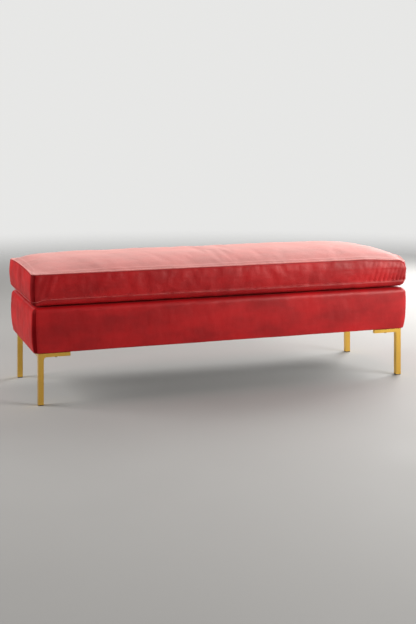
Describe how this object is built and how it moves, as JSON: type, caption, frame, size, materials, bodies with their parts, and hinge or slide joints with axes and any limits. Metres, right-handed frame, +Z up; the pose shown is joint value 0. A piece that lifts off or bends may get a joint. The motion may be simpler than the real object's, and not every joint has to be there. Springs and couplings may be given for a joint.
{
  "type": "upholstered bench",
  "caption": "Upholstered velvet bench with a loose zipped box cushion on a padded sprung base, on slim brass corner legs.",
  "frame": {"origin": "on the floor, under the centre of the bench's plan", "axes": "+X along the bench to the right, +Y from front to back, +Z up"},
  "size_m": [1.422, 0.47, 0.4794],
  "materials": {
    "velvet": "matte",
    "brass": "satin",
    "nylon": "matte",
    "dark_screw": "satin",
    "zinc_steel": "satin",
    "insert_brass": "satin",
    "timber": "matte",
    "spring_steel": "satin",
    "deck_cloth": "matte",
    "dust_cover": "matte",
    "fibre": "matte",
    "foam": "matte",
    "felt": "matte",
    "zip_tape": "matte",
    "zip_coil": "satin",
    "zip_metal": "satin"
  },
  "bodies": {
    "bench": {"back_cover_panel": "velvet", "back_padding": "fibre", "back_rail": "timber", "corner_block_front_left": "timber", "corner_block_front_right": "timber", "corner_block_rear_left": "timber", "corner_block_rear_right": "timber", "deck_cloth": "deck_cloth", "deck_foam": "foam", "dust_cover": "dust_cover", "frame_screws": "zinc_steel", "front_cover_panel": "velvet", "front_padding": "fibre", "front_rail": "timber", "glide_front_left": "nylon", "glide_front_right": "nylon", "glide_rear_left": "nylon", "glide_rear_right": "nylon", "left_brace": "timber", "left_cover_panel": "velvet", "left_end_rail": "timber", "left_padding": "fibre", "leg_front_left": "brass", "leg_front_right": "brass", "leg_rear_left": "brass", "leg_rear_right": "brass", "leg_screws": "dark_screw", "leg_studs": "zinc_steel", "right_brace": "timber", "right_cover_panel": "velvet", "right_end_rail": "timber", "right_padding": "fibre", "seat_spring_1": "spring_steel", "seat_spring_2": "spring_steel", "seat_spring_3": "spring_steel", "seat_spring_4": "spring_steel", "seat_spring_5": "spring_steel", "seat_spring_6": "spring_steel", "seat_spring_7": "spring_steel", "seat_spring_8": "spring_steel", "spring_clips": "zinc_steel", "spring_felt": "felt", "staples": "zinc_steel", "threaded_inserts": "insert_brass"},
    "cushion": {"cushion_bottom_panel": "velvet", "cushion_boxing": "velvet", "cushion_core": "foam", "cushion_top_panel": "velvet", "cushion_wrap_lower": "fibre", "cushion_wrap_upper": "fibre", "zip_stops": "zip_coil", "zip_strip_lower": "velvet", "zip_strip_upper": "velvet", "zip_tapes": "zip_tape", "zip_teeth_lower": "zip_coil", "zip_teeth_upper": "zip_coil"},
    "slider": {"zip_slider": "zip_metal"},
    "pull": {"zip_pull": "zip_metal"}
  },
  "joints": [
    {"name": "cushion_lift", "type": "slide", "parent": "bench", "child": "cushion", "axis": [0, 0, 1], "range_m": [0, 0.15]},
    {"name": "zip_slide", "type": "slide", "parent": "cushion", "child": "slider", "axis": [-1, 0, 0], "range_m": [0, 1.274]},
    {"name": "zip_pull_swing", "type": "hinge", "parent": "slider", "child": "pull", "pos_m": [0.637, 0.2325, 0.398], "axis": [0, 0, -1], "range_deg": [0, 180]}
  ]
}
